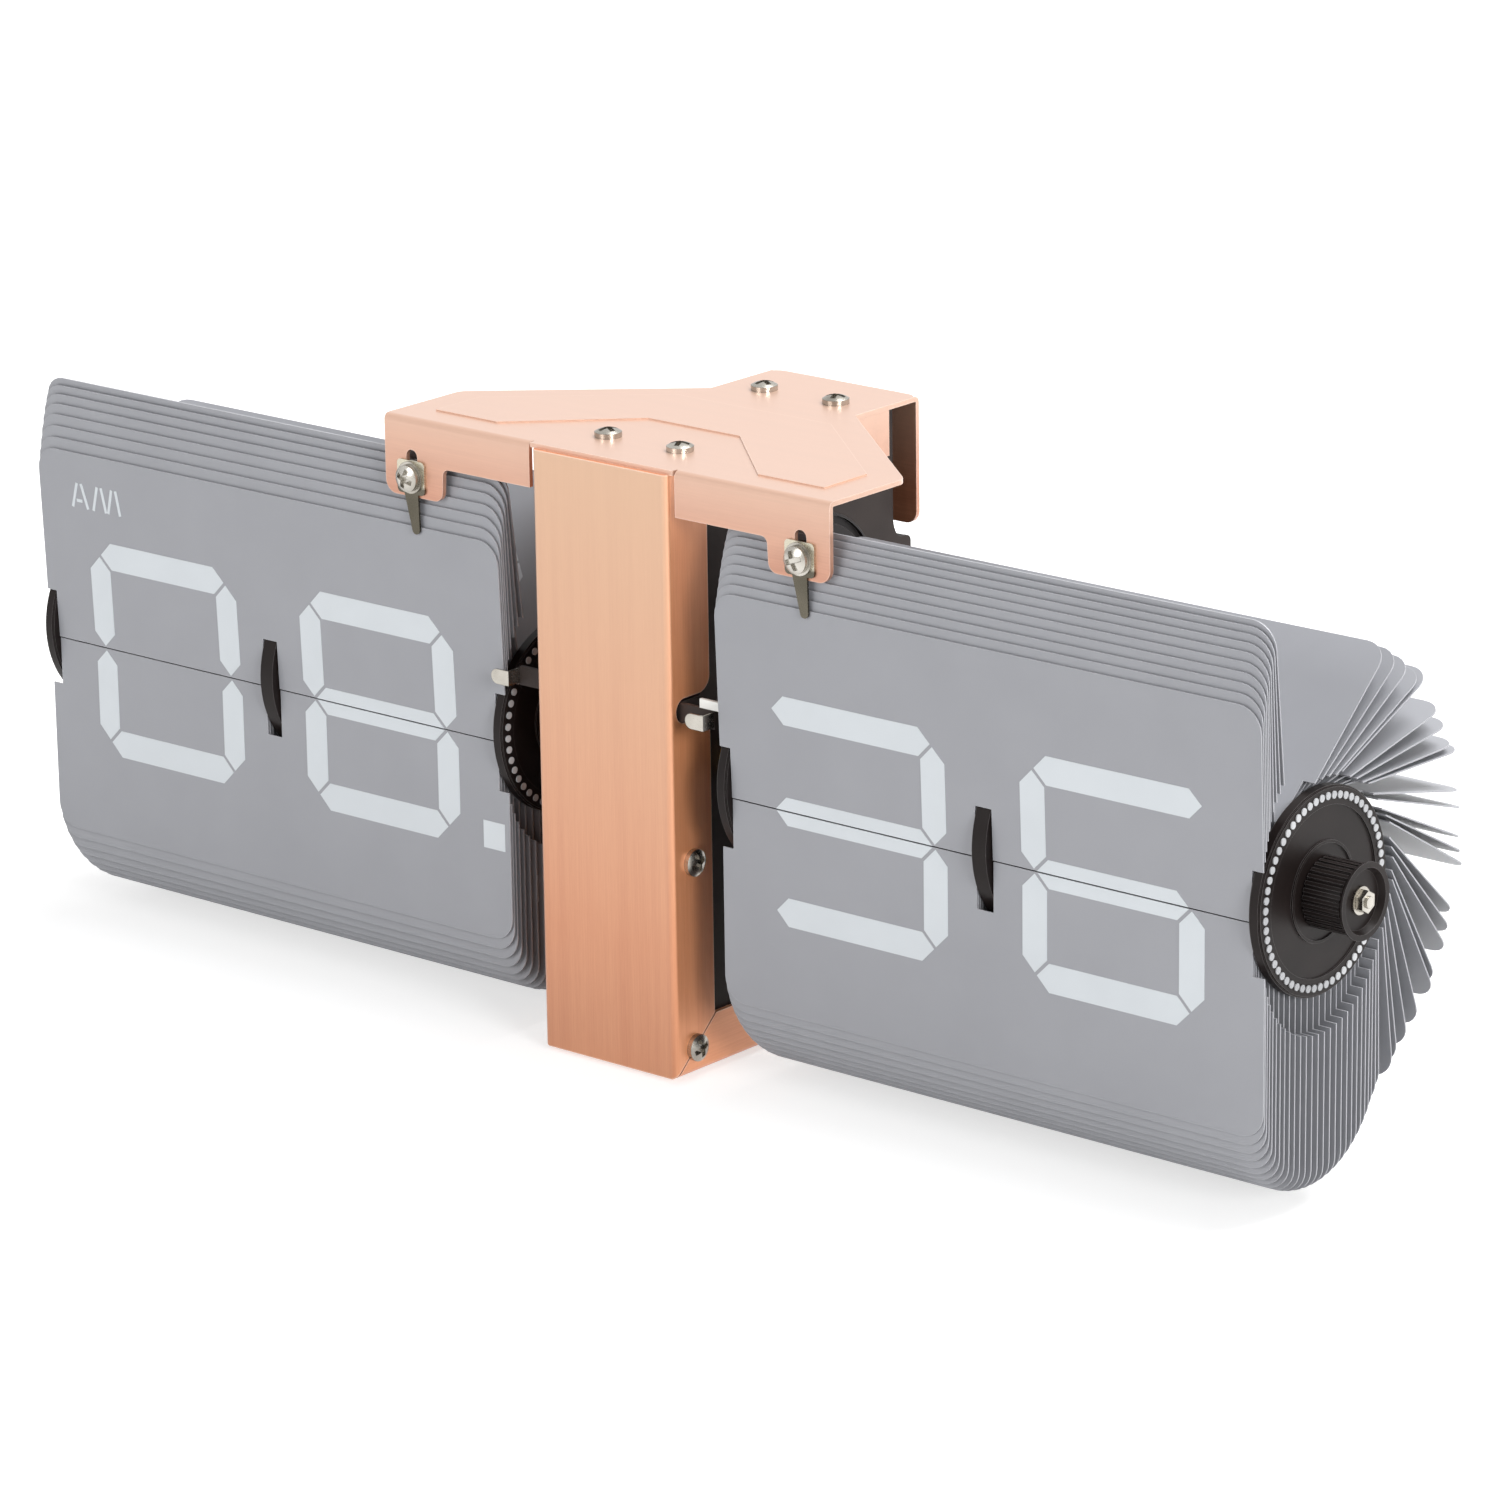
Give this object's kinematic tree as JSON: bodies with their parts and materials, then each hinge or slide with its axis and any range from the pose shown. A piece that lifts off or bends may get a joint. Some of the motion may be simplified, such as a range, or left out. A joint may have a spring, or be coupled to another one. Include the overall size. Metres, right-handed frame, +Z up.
{
  "type": "flip clock",
  "caption": "Flip clock with an hour drum and a minute drum of hinged number leaves on a folded metal column, with a bracket over the top and a setting knob at the side.",
  "frame": {"origin": "centre of the underside of the base, on the surface the clock stands on", "axes": "+X along the clock towards the minutes, +Y towards the back, +Z up"},
  "size_m": [0.36, 0.0849, 0.139],
  "materials": {
    "brushed_copper": "copper-plated steel sheet brushed along its length under clear lacquer",
    "black_chassis": "satin black powder coat on folded steel",
    "bright_steel": "nickel-plated steel",
    "motor_case": "zinc-plated drawn steel",
    "black_moulding": "fine-textured black moulding",
    "drum_plastic": "satin black moulding",
    "gear_brass": "machined brass",
    "leaf_grey": "matt grey plastic sheet",
    "numeral_ink": "pale matt screen print",
    "pin_plastic": "pale plastic pin ends",
    "pad_rubber": "soft black rubber sheet",
    "cell_jacket": "plain printed steel jacket",
    "board_green": "lacquered board",
    "lever_white": "white moulding"
  },
  "bodies": {
    "clock_frame": {"column_cover": "brushed_copper", "top_bracket": "brushed_copper", "base_tray": "brushed_copper", "chassis": "black_chassis", "minute_catch_bracket": "black_chassis", "hour_catch_bracket": "black_chassis", "case_screws": "bright_steel", "minute_catch": "bright_steel", "hour_catch": "bright_steel", "movement_plate": "bright_steel", "battery_contacts": "bright_steel", "motor": "motor_case", "rear_cover": "black_moulding", "battery_holder": "black_moulding", "movement_cover": "black_moulding", "minute_bush": "gear_brass", "hour_bush": "gear_brass", "minute_upper_leaves": "leaf_grey", "minute_rear_leaves": "leaf_grey", "minute_hanging_leaves": "leaf_grey", "hour_upper_leaves": "leaf_grey", "hour_rear_leaves": "leaf_grey", "hour_hanging_leaves": "leaf_grey", "minute_lower_digits": "numeral_ink", "hour_lower_digits": "numeral_ink", "base_pad": "pad_rubber", "battery_cell": "cell_jacket", "driver_board": "board_green", "minute_lever": "lever_white"},
    "minute_drum": {"minute_axle": "bright_steel", "minute_drive_gear": "gear_brass", "minute_pinion": "gear_brass", "minute_outer_disc": "drum_plastic", "minute_middle_disc": "drum_plastic", "minute_inner_disc": "drum_plastic", "minute_barrel": "drum_plastic", "minute_pin_ends": "pin_plastic", "setting_knob": "drum_plastic", "knob_fixings": "bright_steel"},
    "hour_drum": {"hour_axle": "bright_steel", "hour_gear": "gear_brass", "hour_outer_disc": "drum_plastic", "hour_middle_disc": "drum_plastic", "hour_inner_disc": "drum_plastic", "hour_barrel": "drum_plastic", "hour_pin_ends": "pin_plastic", "hour_end_nut": "bright_steel"},
    "counter_train": {"countershaft": "bright_steel", "counter_gear": "gear_brass", "counter_pinion": "gear_brass"},
    "motor_rotor": {"motor_pinion": "bright_steel"},
    "minute_showing_leaf": {"minute_front_leaf": "leaf_grey", "minute_upper_digits": "numeral_ink"},
    "hour_showing_leaf": {"hour_front_leaf": "leaf_grey", "hour_upper_digits": "numeral_ink"},
    "minute_retainer": {"minute_clip": "bright_steel", "minute_clip_fixings": "bright_steel"},
    "hour_retainer": {"hour_clip": "bright_steel", "hour_clip_fixings": "bright_steel"},
    "door": {"battery_door": "black_moulding"}
  },
  "joints": [
    {"name": "minute_drum_turn", "type": "hinge", "parent": "clock_frame", "child": "minute_drum", "pos_m": [0.102, -0.01845, 0.06909], "axis": [1, 0, 0], "continuous": true},
    {"name": "hour_drum_turn", "type": "hinge", "parent": "clock_frame", "child": "hour_drum", "pos_m": [-0.102, -0.01845, 0.06909], "axis": [1, 0, 0], "continuous": true},
    {"name": "counter_turn", "type": "hinge", "parent": "clock_frame", "child": "counter_train", "pos_m": [0, -0.00795, 0.08728], "axis": [1, 0, 0], "continuous": true},
    {"name": "motor_turn", "type": "hinge", "parent": "clock_frame", "child": "motor_rotor", "pos_m": [0.011, -0.02388, 0.04881], "axis": [1, 0, 0], "continuous": true},
    {"name": "minute_leaf_fall", "type": "hinge", "parent": "clock_frame", "child": "minute_showing_leaf", "pos_m": [0.102, -0.03842, 0.06804], "axis": [1, 0, 0], "range_deg": [0, 164]},
    {"name": "hour_leaf_fall", "type": "hinge", "parent": "clock_frame", "child": "hour_showing_leaf", "pos_m": [-0.102, -0.03843, 0.06831], "axis": [1, 0, 0], "range_deg": [0, 164]},
    {"name": "minute_clip_adjust", "type": "slide", "parent": "clock_frame", "child": "minute_retainer", "axis": [0, 0, 1], "range_m": [-0.001, 0.004]},
    {"name": "hour_clip_adjust", "type": "slide", "parent": "clock_frame", "child": "hour_retainer", "axis": [0, 0, 1], "range_m": [-0.001, 0.004]},
    {"name": "battery_door_pull", "type": "slide", "parent": "clock_frame", "child": "door", "axis": [0, 1, 0], "range_m": [0, 0.02]}
  ],
  "couplings": [
    {"joint": "hour_drum_turn", "follows": "minute_drum_turn", "ratio": 0.041667},
    {"joint": "counter_turn", "follows": "minute_drum_turn", "ratio": -0.25},
    {"joint": "motor_turn", "follows": "minute_drum_turn", "ratio": -4}
  ]
}
